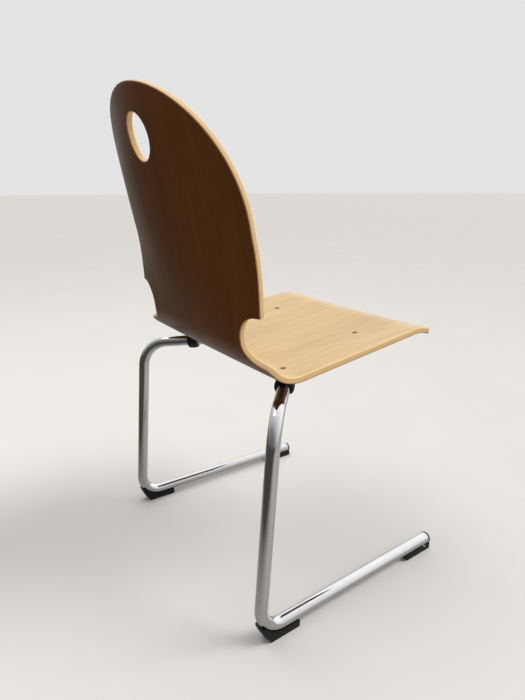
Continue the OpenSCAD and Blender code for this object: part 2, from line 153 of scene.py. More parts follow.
# Brightness of the surroundings, from the side away from the window (0) to the window's own (1)
WORLD_LEVELS = [(0.05, 0.10), (0.30, 0.28), (0.48, 0.60), (0.70, 0.88), (0.95, 1.3)]
WORLD_STRENGTH = 0.9
WALL_COLOUR = (0.86, 0.86, 0.87, 1)
AIM = Vector((0, 0, 0.4))   # where the area lights point
FLOOR_R = 40.0
FLOOR_SIDES = 64


# ---------- shell surface ----------

BEND_LEN = BEND_R * (math.pi / 2 - BACK_LEAN + SEAT_SLOPE)
ARCH_S = BEND_LEN + BACK_STRAIGHT
TOP_S = ARCH_S + ARCH_LEN
BACK_ARC_R = (TOP_S - BEND_LEN) / (TOP_LEAN - BACK_LEAN)
TOP_REACH = BEND_R * math.cos(BACK_LEAN) + BACK_ARC_R * (math.cos(BACK_LEAN) - math.cos(TOP_LEAN))
BEND_Y = OVERALL_DEPTH / 2 - TOP_REACH
BEND_Z = (SEAT_FRONT_H - PLY_T * math.cos(SEAT_SLOPE) - SEAT_FLAT_LEN * math.sin(SEAT_SLOPE)
          + BEND_R * math.cos(SEAT_SLOPE))
SEAT_Y = BEND_Y - BEND_R * math.sin(SEAT_SLOPE)
SEAT_Z = BEND_Z - BEND_R * math.cos(SEAT_SLOPE)
SIDE_END_S = NOTCH_S - NOTCH_R - REAR_CORNER_R
NOTCH_X = SEAT_REAR_W / 2 - REAR_CORNER_R


def clamp01(x):
    return max(0.0, min(1.0, x))


def smooth(x):
    t = clamp01(x)
    return t * t * (3 - 2 * t)


def mix(a, b, t):
    return a + (b - a) * t


def profile(s):
    """(y, z, heading above horizontal) of the outer face's middle line at length s."""
    if s < -SEAT_FLAT_LEN:
        y, z, _ = profile(-SEAT_FLAT_LEN)
        a = (-SEAT_FLAT_LEN - s) / FRONT_ROLL_R - SEAT_SLOPE
        return (y - FRONT_ROLL_R * (math.sin(SEAT_SLOPE) + math.sin(a)),
                z - FRONT_ROLL_R * (math.cos(SEAT_SLOPE) - math.cos(a)), a)
    if s <= 0:
        return SEAT_Y + s * math.cos(SEAT_SLOPE), SEAT_Z - s * math.sin(SEAT_SLOPE), -SEAT_SLOPE
    if s <= BEND_LEN:
        a = s / BEND_R - SEAT_SLOPE
        return BEND_Y + BEND_R * math.sin(a), BEND_Z - BEND_R * math.cos(a), a
    lean = mix(BACK_LEAN, TOP_LEAN, (s - BEND_LEN) / (TOP_S - BEND_LEN))
    return (BEND_Y + BEND_R * math.cos(BACK_LEAN) + BACK_ARC_R * (math.cos(BACK_LEAN) - math.cos(lean)),
            BEND_Z - BEND_R * math.sin(BACK_LEAN) + BACK_ARC_R * (math.sin(lean) - math.sin(BACK_LEAN)),
            math.pi / 2 - lean)


def side_half_w(s):
    return mix(SEAT_FRONT_W, SEAT_REAR_W, clamp01((s + SEAT_LEN) / (SIDE_END_S + SEAT_LEN))) / 2


def curl(s):
    full = mix(1 / WAIST_CURVE_R, 1 / TOP_CURVE_R, clamp01((s - CURL_END_S) / (TOP_S - CURL_END_S)))
    return smooth((s - CURL_START_S) / (CURL_END_S - CURL_START_S)) * full


def dish_at(s):
    share = mix(DISH_FRONT_SHARE, 1, smooth((s + SEAT_LEN) / DISH_FRONT_RUN))
    return DISH * share * smooth((DISH_END_S - s) / DISH_REAR_RUN)


def rise(s, x):
    return curl(s) * x * x / 2 - dish_at(s) * (1 - clamp01(abs(x) / side_half_w(s)) ** DISH_POWER)


def cross_slope(s, x):
    across = clamp01(abs(x) / side_half_w(s)) ** (DISH_POWER - 1)
    return curl(s) * x + dish_at(s) * DISH_POWER * math.copysign(across, x) / side_half_w(s)


def shell_point(s, x, h):
    """Point of the shell at length s, sideways x, and height h above the outer face."""
    y, z, heading = profile(s)
    up = Vector((0, -math.sin(heading), math.cos(heading)))
    normal = Vector((-cross_slope(s, x), up.y, up.z)).normalized()
    return Vector((x, y, z)) + up * rise(s, x) + normal * h


def seat_point(x, v, h):
    """Point given sideways, along the seat, and above the seat's outer face."""
    c, s = math.cos(SEAT_SLOPE), math.sin(SEAT_SLOPE)
    return Vector((x, SEAT_Y + v * c + h * s, SEAT_Z - v * s + h * c))


# ---------- frame route ----------

RUNNER_Z = GLIDE_T + TUBE_R
RUNNER_FRONT_Y = -OVERALL_DEPTH / 2 + GLIDE_SETBACK + PLUG_FLANGE
FOOT_Y = RUNNER_FRONT_Y + RUNNER_LEN
ROUTE = [
    Vector((RUNNER_FRONT_X, RUNNER_FRONT_Y, RUNNER_Z)),
    Vector((RUNNER_REAR_X, FOOT_Y, RUNNER_Z)),
    Vector((LEG_TOP_X, FOOT_Y - LEG_RAKE, LEG_TOP_Z)),
    seat_point(ARM_REAR_X, ARM_CORNER_V, -ARM_DROP),
    seat_point(ARM_FRONT_X, ARM_CORNER_V - ARM_LEN, -ARM_DROP),
]
ARM_CORNER = ROUTE[3]
ARM_DIR = (ROUTE[4] - ROUTE[3]).normalized()
DIAGONAL_DIR = (ROUTE[2] - ROUTE[3]).normalized()
SEAT_UP = Vector((0, math.sin(SEAT_SLOPE), math.cos(SEAT_SLOPE)))


def route_rings():
    """Rings along the tube as (centre, direction, sideways axis), with no twist between them."""
    def straight(i):
        return (ROUTE[i + 1] - ROUTE[i]).normalized()

    def inward(i):
        before, after = straight(i - 1), straight(i)
        return (after - before * before.dot(after)).normalized()

    sideways = inward(1)
    rings = [(ROUTE[0], straight(0), sideways)]
    for i in range(1, len(ROUTE) - 1):
        d, w, r = straight(i - 1), inward(i), BENDS[i]
        turn = d.angle(straight(i))
        start = ROUTE[i] - d * r * math.tan(turn / 2)
        for k in range(BEND_STEPS + 1):
            a = turn * k / BEND_STEPS
            spin = Matrix.Rotation(a, 3, d.cross(w))
            rings.append((start + (w * (1 - math.cos(a)) + d * math.sin(a)) * r, spin @ d, spin @ sideways))
        sideways = Matrix.Rotation(turn, 3, d.cross(w)) @ sideways
    rings.append((ROUTE[-1], ARM_DIR, sideways))
    return rings


def fixing(front):
    """(point on the tube's middle line, axis towards the seat, height of the outer face) at a screw."""
    at = ARM_CORNER + (ARM_DIR * FRONT_SCREW_RUN if front else DIAGONAL_DIR * REAR_SCREW_RUN)
    d = ARM_DIR if front else DIAGONAL_DIR
    axis = (SEAT_UP - d * SEAT_UP.dot(d)).normalized()
    c, s = math.cos(SEAT_SLOPE), math.sin(SEAT_SLOPE)
    along = (at.y - SEAT_Y) * c - (at.z - SEAT_Z) * s
    h = -((at.y - SEAT_Y) * s + (at.z - SEAT_Z) * c) + rise(along, at.x)
    return at, axis, h


# ---------- materials ----------

class Nodes:
    """A short way to write a material's node tree."""

    def __init__(self, name):
        self.material = bpy.data.materials.new(name)
        self.material.use_nodes = True
        self.tree = self.material.node_tree
        self.tree.nodes.clear()
        self.out = self.tree.nodes.new("ShaderNodeOutputMaterial")

    def add(self, kind, inputs=None, **settings):
        made = self.tree.nodes.new("ShaderNode" + kind)
        for key, value in settings.items():
            setattr(made, key, value)
        for key, value in (inputs or {}).items():
            self.put(made.inputs[key], value)
        return made

    def put(self, socket, value):
        if isinstance(value, bpy.types.NodeSocket):
            self.tree.links.new(value, socket)
        else:
            socket.default_value = value

    def object_place(self):
        return self.add("TexCoord").outputs["Object"]

    def noise(self, vector, scale, detail=4.0, roughness=0.55, distortion=0.0):
        made = self.add("TexNoise", {"Vector": vector, "Scale": scale, "Detail": detail,
                                     "Roughness": roughness, "Distortion": distortion})
        return made.outputs["Fac"]

    def math(self, operation, a, b=0.0):
        made = self.add("Math", operation=operation)
        self.put(made.inputs[0], a)
        self.put(made.inputs[1], b)
        return made.outputs[0]

    def span(self, value, low, high, to_low=0.0, to_high=1.0):
        made = self.add("MapRange", {"Value": value, "From Min": low, "From Max": high,
                                     "To Min": to_low, "To Max": to_high})
        made.clamp = True
        return made.outputs["Result"]

    def ramp(self, value, stops):
        made = self.add("ValToRGB", {"Fac": value})
        elements = made.color_ramp.elements
        while len(elements) < len(stops):
            elements.new(0.5)
        for element, (position, colour) in zip(elements, stops):
            element.position = position
            element.color = (*colour, 1.0)
        return made.outputs["Color"]

    def blend(self, factor, a, b):
        made = self.add("Mix", data_type="RGBA")
        self.put(made.inputs["Factor"], factor)
        self.put(made.inputs["A"], a if isinstance(a, bpy.types.NodeSocket) else (*a, 1.0))
        self.put(made.inputs["B"], b if isinstance(b, bpy.types.NodeSocket) else (*b, 1.0))
        return made.outputs["Result"]

    def stretched(self, vector, scale):
        return self.add("Mapping", {"Vector": vector, "Scale": scale}).outputs["Vector"]

    def bump(self, height, distance):
        return self.add("Bump", {"Height": height, "Distance": distance,
                                 "Strength": 1.0}).outputs["Normal"]

    def finish(self, **inputs):
        shader = self.add("BsdfPrincipled")
        for key, value in inputs.items():
            self.put(shader.inputs[key.replace("_", " ")], value)
        self.tree.links.new(shader.outputs[0], self.out.inputs["Surface"])
        return self.material


def sheet_coordinates(n):
    """In metres. On the faces X runs across the shell and Y along it, with the grain.

    On the edges X runs along the edge and Y is the height above the outer face.
    """
    return n.add("UVMap", uv_map="sheet").outputs["UV"]


def beech_grain(n, uv):
    """(broad tone, fine streaks, flecks) of flat-sliced beech, each from 0 to 1."""
    broad = n.noise(n.stretched(uv, (9.0, 1.1, 1.0)), 1.6, detail=3.0, distortion=0.8)
    streaks = n.noise(n.stretched(uv, (170.0, 4.5, 1.0)), 1.0, detail=4.0, roughness=0.6, distortion=0.3)
    cells = n.add("TexVoronoi", {"Vector": n.stretched(uv, (900.0, 120.0, 1.0)), "Scale": 1.0,
                                 "Randomness": 1.0}, feature="F1").outputs["Distance"]
    flecks = n.span(cells, 0.05, 0.32, 1.0, 0.0)
    return broad, streaks, flecks


def beech_face():
    n = Nodes("beech_face")
    broad, streaks, flecks = beech_grain(n, sheet_coordinates(n))
    tone = n.ramp(broad, [(0.3, (0.450, 0.290, 0.112)), (0.55, (0.525, 0.352, 0.145)),
                          (0.75, (0.580, 0.400, 0.172))])
    tone = n.blend(n.span(streaks, 0.35, 0.7, 0.0, 0.38), tone, (0.360, 0.215, 0.076))
    tone = n.blend(n.math("MULTIPLY", flecks, 0.28), tone, (0.320, 0.165, 0.056))
    rough = n.span(streaks, 0.2, 0.8, 0.30, 0.42)
    return n.finish(Base_Color=tone, Roughness=rough, Coat_Weight=0.12, Coat_Roughness=0.22,
                    Normal=n.bump(streaks, 0.00006))


def stained_back():
    n = Nodes("stained_back")
    broad, streaks, flecks = beech_grain(n, sheet_coordinates(n))
    tone = n.ramp(broad, [(0.3, (0.072, 0.0200, 0.0006)), (0.6, (0.093, 0.0280, 0.0010)),
                          (0.8, (0.112, 0.0350, 0.0016))])
    tone = n.blend(n.span(streaks, 0.4, 0.75, 0.0, 0.30), tone, (0.050, 0.0135, 0.0008))
    tone = n.blend(n.math("MULTIPLY", flecks, 0.12), tone, (0.036, 0.0100, 0.0008))
    rough = n.span(streaks, 0.2, 0.8, 0.30, 0.40)
    return n.finish(Base_Color=tone, Roughness=rough, Specular_IOR_Level=0.2,
                    Normal=n.bump(streaks, 0.00006))


def ply_edge():
    """Veneers seen from the side, with stain along the back and a painted highlight, a paler line along the
    face.
    """
    n = Nodes("ply_edge")
    uv = sheet_coordinates(n)
    height = n.add("SeparateXYZ", {"Vector": uv}).outputs["Y"]
    wobble = n.noise(n.stretched(uv, (14.0, 0.0, 1.0)), 1.0, detail=2.0)
    height = n.math("ADD", height, n.math("MULTIPLY", n.math("SUBTRACT", wobble, 0.5), 0.0004))
    layer = n.math("PINGPONG", n.math("DIVIDE", height, PLY_T * MM / VENEERS), 1.0)
    bands = n.span(layer, 0.25, 0.75)
    fine = n.noise(n.stretched(uv, (260.0, 2600.0, 1.0)), 1.0, detail=3.0)
    tone = n.blend(bands, (0.72, 0.500, 0.245), (0.54, 0.335, 0.140))
    tone = n.blend(n.span(fine, 0.4, 0.7, 0.0, 0.28), tone, (0.38, 0.215, 0.080))
    glue = n.span(n.math("ABSOLUTE", n.math("SUBTRACT", layer, 0.5)), 0.0, 0.10, 0.55, 0.0)
    tone = n.blend(glue, tone, (0.20, 0.10, 0.04))
    stain = n.span(height, 0.0009, 0.0021, 0.75, 0.0)
    tone = n.blend(stain, tone, (0.150, 0.066, 0.018))
    # painted highlight: a paler line just under the face's rounded arris
    tone = n.blend(n.span(height, 0.0078, 0.0086, 0.0, 0.5), tone, (0.78, 0.570, 0.300))
    return n.finish(Base_Color=tone, Roughness=0.5, Normal=n.bump(fine, 0.00012))


def chrome():
    n = Nodes("chrome")
    at = n.object_place()
    haze = n.noise(at, 28.0, detail=3.0)
    specks = n.noise(at, 900.0, detail=2.0)
    rough = n.math("ADD", n.span(haze, 0.35, 0.75, 0.05, 0.10),
                   n.span(specks, 0.62, 0.75, 0.0, 0.12))
    tone = n.blend(n.span(haze, 0.3, 0.7), (0.80, 0.80, 0.815), (0.735, 0.73, 0.735))
    return n.finish(Base_Color=tone, Metallic=1.0, Roughness=rough)


def zinc(name, tone):
    n = Nodes(name)
    mottle = n.noise(n.object_place(), 700.0, detail=3.0)
    dark = tuple(c * 0.72 for c in tone)
    return n.finish(Base_Color=n.blend(n.span(mottle, 0.35, 0.65), tone, dark), Metallic=1.0,
                    Roughness=n.span(mottle, 0.3, 0.7, 0.28, 0.42))


def plastic():
    n = Nodes("black_plastic")
    at = n.object_place()
    grain = n.noise(at, 1400.0, detail=2.0)
    scuffs = n.noise(at, 60.0, detail=4.0, roughness=0.7)
    tone = n.blend(n.span(scuffs, 0.5, 0.8), (0.006, 0.006, 0.0065), (0.018, 0.0175, 0.017))
    return n.finish(Base_Color=tone, Roughness=n.span(scuffs, 0.3, 0.8, 0.36, 0.55), Specular_IOR_Level=0.3,
                    Normal=n.bump(grain, 0.00008))


def weld_metal():
    n = Nodes("weld")
    ripple = n.noise(n.object_place(), 420.0, detail=2.0)
    return n.finish(Base_Color=n.blend(ripple, (0.62, 0.60, 0.57), (0.42, 0.40, 0.38)), Metallic=1.0,
                    Roughness=n.span(ripple, 0.3, 0.7, 0.2, 0.36), Normal=n.bump(ripple, 0.0003))


# ---------- mesh helpers ----------

def make_object(name, points, faces, materials, face_materials=None, uvs=None):
    """A mesh object from points in millimetres."""
    mesh = bpy.data.meshes.new(name)
    mesh.from_pydata([tuple(Vector(p) * MM) for p in points], [], faces)
    for m in materials:
        mesh.materials.append(m)
    if face_materials is not None:
        mesh.polygons.foreach_set("material_index", face_materials)
    if uvs is not None:
        layer = mesh.uv_layers.new(name="sheet")
        flat = [c for face in uvs for uv in face for c in uv]
        layer.data.foreach_set("uv", flat)
    mesh.update()
    obj = bpy.data.objects.new(name, mesh)
    bpy.context.scene.collection.objects.link(obj)
    return obj


def shade(obj, angle=40.0):
    """Smooth shading, with edges sharper than the angle kept crisp."""
    obj.data.shade_smooth()
    bpy.context.view_layer.objects.active = obj
    with bpy.context.temp_override(object=obj, active_object=obj, selected_objects=[obj],
                                   selected_editable_objects=[obj]):
        bpy.ops.object.shade_smooth_by_angle(angle=math.radians(angle))


def place(obj, slot, *nodes):
    """Fixes a piece to the chair's one body and hides the CAD nodes it stands in for; slot is not used."""
    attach(obj, "root")
    if nodes:
        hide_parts(*nodes)
    return obj


# ---------- shell ----------

def arc(centre, r, start, end):
    count = max(3, math.ceil(abs(end - start) * r / RIM_STEP))
    angles = [mix(start, end, i / count) for i in range(count + 1)]
    return [(centre[0] + r * math.cos(a), centre[1] + r * math.sin(a)) for a in angles]


def run(a, b):
    count = max(1, math.ceil(math.dist(a, b) / RIM_STEP))
    return [(mix(a[0], b[0], i / count), mix(a[1], b[1], i / count)) for i in range(count + 1)]


def half_outline():
    """The shell's outline on the left half, as (x, s) from the front edge up to the top of the back."""
    start_gap = 0.4     # keeps the sides' first points off the arcs before them
    corner_x = SEAT_FRONT_W / 2 - FRONT_CORNER_R
    corner_s = -SEAT_LEN + FRONT_CORNER_R
    points = run((0.0, -SEAT_LEN), (corner_x, -SEAT_LEN))
    points += arc((corner_x, corner_s), FRONT_CORNER_R, -math.pi / 2, 0)
    points += run((SEAT_FRONT_W / 2 + start_gap, corner_s + start_gap), (SEAT_REAR_W / 2, SIDE_END_S))
    points += arc((NOTCH_X, SIDE_END_S), REAR_CORNER_R, 0, math.pi / 2)
    points += arc((NOTCH_X, NOTCH_S), NOTCH_R, -math.pi / 2, -3 * math.pi / 2)
    back_corner = (BACK_W / 2, NOTCH_S + NOTCH_R + 0.5)
    points += run((NOTCH_X, NOTCH_S + NOTCH_R), back_corner)
    points += run(back_corner, (BACK_W / 2, ARCH_S))
    for i in range(1, ARCH_STEPS + 1):
        a = math.pi / 2 * i / ARCH_STEPS
        points.append((BACK_W / 2 * max(0.0, math.cos(a)) ** (2 / ARCH_POWER),
                       ARCH_S + ARCH_LEN * math.sin(a) ** (2 / ARCH_POWER)))
    kept = [points[0]]
    for p in points[1:]:
        if math.dist(p, kept[-1]) > MIN_STEP:
            kept.append(p)
    kept[-1] = (0.0, TOP_S)
    return kept


def outline():
    half = half_outline()
    return half + [(-x, s) for x, s in reversed(half[1:-1])]


def circle(centre, r, count):
    return [(centre[0] + r * math.cos(2 * math.pi * k / count),
             centre[1] + r * math.sin(2 * math.pi * k / count)) for k in range(count)]


def inset(loop, distance):
    """The closed loop moved sideways, to the left of its direction."""
    p = np.array(loop)
    t = np.roll(p, -1, 0) - np.roll(p, 1, 0)
    t /= np.linalg.norm(t, axis=1)[:, None]
    before, after = p - np.roll(p, 1, 0), np.roll(p, -1, 0) - p
    before /= np.linalg.norm(before, axis=1)[:, None]
    after /= np.linalg.norm(after, axis=1)[:, None]
    spread = np.sqrt(np.clip((1 + (before * after).sum(1)) / 2, 0.25, 1.0))
    normal = np.stack([-t[:, 1], t[:, 0]], 1)
    return p + normal * (distance / spread)[:, None]


def inside(points, loop):
    """Even-odd test of many points against one closed loop."""
    x, y = points[:, 0][:, None], points[:, 1][:, None]
    a, b = np.array(loop), np.roll(np.array(loop), -1, 0)
    crosses = (a[:, 1] > y) != (b[:, 1] > y)
    with np.errstate(divide="ignore", invalid="ignore"):
        at = a[:, 0] + (y - a[:, 1]) / (b[:, 1] - a[:, 1]) * (b[:, 0] - a[:, 0])
    return ((crosses & (x < at)).sum(1) % 2).astype(bool)


def filled(rim, holes):
    """(points, triangles, lookup) of the area inside rim and outside the holes, on an even grid.

    lookup says which point each border point became.
    """
    loops = [np.array(rim)] + [np.array(h) for h in holes]
    border = np.concatenate(loops)
    tree = KDTree(len(border))
    for i, p in enumerate(border):
        tree.insert((p[0], p[1], 0), i)
    tree.balance()
    xs = np.arange(-GRID_HALF_W, GRID_HALF_W + 0.1, GRID)
    ss = np.arange(-SEAT_LEN, TOP_S + GRID, GRID)
    grid = np.array([(x, s) for s in ss for x in xs])
    keep = inside(grid, loops[0])
    for hole in loops[1:]:
        keep &= ~inside(grid, hole)
    grid = [p for p in grid[keep] if tree.find((p[0], p[1], 0))[2] > GRID_CLEAR]
    points = [Vector(p) for p in np.concatenate([border, grid])]
    edges, start = [], 0
    for loop in loops:
        n = len(loop)
        edges += [(start + k, start + (k + 1) % n) for k in range(n)]
        start += n
    out, _, faces, sources, _, _ = delaunay_2d_cdt(points, edges, [], 0, 1e-7)
    flat = np.array([tuple(p) for p in out])
    middles = np.array([flat[list(f)].mean(0) for f in faces])
    ok = inside(middles, loops[0])
    for hole in loops[1:]:
        ok &= ~inside(middles, hole)
    lookup = {s: i for i, group in enumerate(sources) for s in group}
    return flat, [list(f) for f, good in zip(faces, ok) if good], lookup


def fixing_spots():
    """Where the four screws meet the seat's top face, as (x, s)."""
    spots = []
    for front in (True, False):
        at, axis, h = fixing(front)
        top = at + axis * (h + PLY_T)
        along = (top.y - SEAT_Y) * math.cos(SEAT_SLOPE) - (top.z - SEAT_Z) * math.sin(SEAT_SLOPE)
        spots += [(side * top.x, along) for side in (LEFT, RIGHT)]
    return spots


FACE, BACK, EDGE = range(3)     # the shell's materials


def build_shell(face, back, edge):
    points, faces, slots, uvs = [], [], [], []
    rim = outline()
    hand_hole = circle((0.0, TOP_S - HOLE_FROM_TOP), HOLE_R, HOLE_SIDES)[::-1]
    sinks = [circle(spot, SCREW_HEAD_R + SCREW_GAP, SINK_SIDES)[::-1] for spot in fixing_spots()]
    wall_h = PLY_T - HEAD_SINK
    floor_h = wall_h - HEAD_H

    def add_sheet(loops, h, material, flip):
        flat, triangles, lookup = filled(loops[0], loops[1:])
        start = len(points)
        points.extend(shell_point(s, x, h) for x, s in flat)
        for t in triangles:
            a, b, c = (flat[i] for i in t)
            counter = (b[0] - a[0]) * (c[1] - a[1]) - (b[1] - a[1]) * (c[0] - a[0]) > 0
            t = t if counter != flip else t[::-1]
            faces.append([start + i for i in t])
            uvs.append([flat[i] * MM for i in t])
            slots.append(material)
        rows, offset = [], 0
        for loop in loops:
            rows.append([start + lookup[offset + k] for k in range(len(loop))])
            offset += len(loop)
        return rows

    def add_loop(loop, h):
        start = len(points)
        points.extend(shell_point(s, x, h) for x, s in loop)
        return list(range(start, start + len(loop)))

    def bridge(upper, lower, h_upper, h_lower, lengths, material):
        n = len(upper)
        for k in range(n):
            j = (k + 1) % n
            faces.append([upper[k], lower[k], lower[j], upper[j]])
            u0, u1 = lengths[k] * MM, lengths[k + 1] * MM
            uvs.append([(u0, h_upper * MM), (u0, h_lower * MM), (u1, h_lower * MM), (u1, h_upper * MM)])
            slots.append(material)

    def running_length(loop):
        p = np.array(loop)
        steps = np.linalg.norm(np.roll(p, -1, 0) - p, axis=1)
        return np.concatenate([[0], np.cumsum(steps)])

    def rounding(r):
        """(inset, depth) down a quarter round, without its first point."""
        angles = [math.pi / 2 * k / ARRIS_STEPS for k in range(1, ARRIS_STEPS + 1)]
        return [(r * (1 - math.sin(a)), r * (1 - math.cos(a))) for a in angles]

    through = [rim, hand_hole]
    top_rows = add_sheet([inset(l, FACE_ARRIS) for l in through] + sinks, PLY_T, FACE, False)
    bottom_rows = add_sheet([inset(l, BACK_ARRIS) for l in through], 0.0, BACK, True)
    for loop, top, bottom in zip(through, top_rows, bottom_rows):
        lengths = running_length(loop)
        rows = [(top, PLY_T)]
        for gap, depth in rounding(FACE_ARRIS):
            rows.append((add_loop(inset(loop, gap), PLY_T - depth), PLY_T - depth))
        for gap, depth in reversed(rounding(BACK_ARRIS)):
            rows.append((add_loop(inset(loop, gap), depth), depth))
        rows.append((bottom, 0.0))
        for (upper, h_upper), (lower, h_lower) in zip(rows, rows[1:]):
            bridge(upper, lower, h_upper, h_lower, lengths, EDGE)
    for spot, wall, top in zip(fixing_spots(), sinks, top_rows[len(through):]):
        floor = circle(spot, SCREW_R + SCREW_GAP, SINK_SIDES)[::-1]
        lengths = running_length(wall)
        wall_row, floor_row = add_loop(wall, wall_h), add_loop(floor, floor_h)
        bridge(top, wall_row, PLY_T, wall_h, lengths, EDGE)
        bridge(wall_row, floor_row, wall_h, floor_h, lengths, EDGE)
        faces.append(floor_row)
        uvs.append([(x * MM, s * MM) for x, s in floor])
        slots.append(EDGE)
    shell = make_object("shell", points, faces, [face, back, edge], slots, uvs)
    shade(shell, 35)
    return place(shell, "beech_ply", "seat_shell")


# ---------- tubes ----------

def sweep(rings, r, sides):
    points = []
    for centre, d, x in rings:
        y = d.cross(x)
        for k in range(sides):
            a = 2 * math.pi * k / sides
            points.append(centre + (x * math.cos(a) + y * math.sin(a)) * r)
    return points


def strips(first, rings, sides, flip=False):
    faces = []
    for i in range(rings - 1):
        for k in range(sides):
            a, b = first + i * sides + k, first + i * sides + (k + 1) % sides
            quad = [a, b, b + sides, a + sides]
            faces.append(quad[::-1] if flip else quad)
    return faces


def build_tube(name, side, material):
    """Bent tube with an open bore and a small rounding at its cut ends."""
    rings = route_rings()
    first, last = rings[0], rings[-1]
    outer = ([first, (first[0] + first[1] * TUBE_END_ROUND, *first[1:])] + rings[1:-1]
             + [(last[0] - last[1] * TUBE_END_ROUND, *last[1:]), last])
    n = TUBE_SIDES
    points = sweep(outer, TUBE_R, n)
    for row in (0, len(outer) - 1):
        centre = outer[row][0]
        for k in range(n):
            i = row * n + k
            points[i] = centre + (points[i] - centre) * (1 - TUBE_END_ROUND / TUBE_R)
    start = len(points)
    points += sweep(rings, TUBE_R - TUBE_WALL, n)
    faces = strips(0, len(outer), n) + strips(start, len(rings), n, flip=True)
    outer_end, inner_end = (len(outer) - 1) * n, start + (len(rings) - 1) * n
    for k in range(n):
        j = (k + 1) % n
        faces.append([k, start + k, start + j, j])
        faces.append([outer_end + k, outer_end + j, inner_end + j, inner_end + k])
    if side == RIGHT:
        points = [Vector((-p.x, p.y, p.z)) for p in points]
        faces = [f[::-1] for f in faces]
    tube = make_object("tube_" + name, points, faces, [material])
    shade(tube)
    return place(tube, "chrome_tube", "side_tube_" + name)


def weld_bead(name, side, cross_run, material):
    """Rounded weld where a cross tube meets an arm."""
    a = ARM_CORNER + ARM_DIR * cross_run
    wide, sides = BEAD_STEPS, BEAD_SIDES
    centres = []
    for k in range(wide):
        t = 2 * math.pi * k / wide
        y, z = CROSS_R * math.cos(t), CROSS_R * math.sin(t)
        offset = Vector((0, y, z))
        low, high = 0.0, 30.0       # halved until it closes on the arm's surface
        for _ in range(30):
            x = (low + high) / 2
            q = Vector((-x, 0, 0)) + offset
            away = (q - ARM_DIR * q.dot(ARM_DIR)).length
            low, high = (x, high) if away < TUBE_R else (low, x)
        centres.append(a + Vector((-high, 0, 0)) + offset)
    points, faces = [], []
    for k, centre in enumerate(centres):
        d = (centres[(k + 1) % wide] - centres[k - 1]).normalized()
        x = Vector((1, 0, 0)) - d * d.x
        x.normalize()
        y = d.cross(x)
        swell = BEAD_R * (1 + BEAD_SWELL * math.sin(k * 2.4))
        for j in range(sides):
            b = 2 * math.pi * j / sides
            points.append(centre + (x * math.cos(b) + y * math.sin(b)) * swell)
    for k in range(wide):
        for j in range(sides):
            p, q = k * sides, (k + 1) % wide * sides
            faces.append([p + j, p + (j + 1) % sides, q + (j + 1) % sides, q + j])
    points = [Vector((side * p.x, p.y, p.z)) for p in points]
    if side == RIGHT:
        faces = [f[::-1] for f in faces]
    bead = make_object(name, points, faces, [material])
    shade(bead, 60)
    return place(bead, "chrome_tube")


# ---------- pieces made from the CAD solids with rounded edges ----------

def softened(node, name, slot, material, width):
    """A copy of a CAD solid whose sharp edges are rounded by width, in millimetres."""
    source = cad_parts[node]
    mesh = source.data.copy()
    mesh.materials.clear()
    mesh.materials.append(material)
    tidy = bmesh.new()
    tidy.from_mesh(mesh)
    bmesh.ops.remove_doubles(tidy, verts=tidy.verts, dist=0.00002)
    bmesh.ops.dissolve_limit(tidy, angle_limit=math.radians(1.0), verts=tidy.verts, edges=tidy.edges)
    tidy.to_mesh(mesh)
    tidy.free()
    piece = bpy.data.objects.new(name, mesh)
    bpy.context.scene.collection.objects.link(piece)
    bevel = piece.modifiers.new("round", "BEVEL")
    bevel.width = width * MM
    bevel.segments = 3
    bevel.limit_method = "ANGLE"
    bevel.angle_limit = math.radians(30)
    bevel.use_clamp_overlap = True
    bpy.context.view_layer.update()
    rounded = bpy.data.meshes.new_from_object(piece.evaluated_get(bpy.context.evaluated_depsgraph_get()))
    piece.modifiers.clear()
    piece.data = rounded
    shade(piece, 30)
    return place(piece, slot, node)


# ---------- scene ----------

def build_camera():
    yaw, pitch, roll = CAMERA_YAW, CAMERA_PITCH, CAMERA_ROLL
    forward = Vector((math.sin(yaw) * math.cos(pitch), -math.cos(yaw) * math.cos(pitch), -math.sin(pitch)))
    right = forward.cross(Vector((0, 0, 1))).normalized()
    up = right.cross(forward)
    turned_right = right * math.cos(roll) + up * math.sin(roll)
    turned_up = up * math.cos(roll) - right * math.sin(roll)
    data = bpy.data.cameras.new("camera")
    data.sensor_fit = "VERTICAL"
    data.sensor_height = SENSOR
    data.lens = CAMERA_LENS
    camera = bpy.data.objects.new("camera", data)
    axes = Matrix((turned_right, turned_up, -forward)).transposed().to_4x4()
    camera.matrix_world = Matrix.Translation(CAMERA_AT) @ axes
    bpy.context.scene.collection.objects.link(camera)
    bpy.context.scene.camera = camera


def build_light(name, at, size, power, tone=(1.0, 1.0, 1.0), mirrored=True):
    data = bpy.data.lights.new(name, "AREA")
    data.shape = "RECTANGLE"
    data.size, data.size_y = size
    data.energy = power
    data.color = tone
    light = bpy.data.objects.new(name, data)
    light.location = at
    light.rotation_euler = (AIM - Vector(at)).to_track_quat("-Z", "Y").to_euler()
    light.visible_glossy = mirrored
    bpy.context.scene.collection.objects.link(light)


def build_sun(towards, strength, tone):
    """Wide soft light from one side, the same over the whole floor."""
    data = bpy.data.lights.new("window", "SUN")
    data.energy = strength
    data.angle = math.radians(28)
    data.color = tone
    sun = bpy.data.objects.new("window", data)
    sun.rotation_euler = Vector(towards).to_track_quat("Z", "Y").to_euler()
    sun.visible_glossy = False
    bpy.context.scene.collection.objects.link(sun)


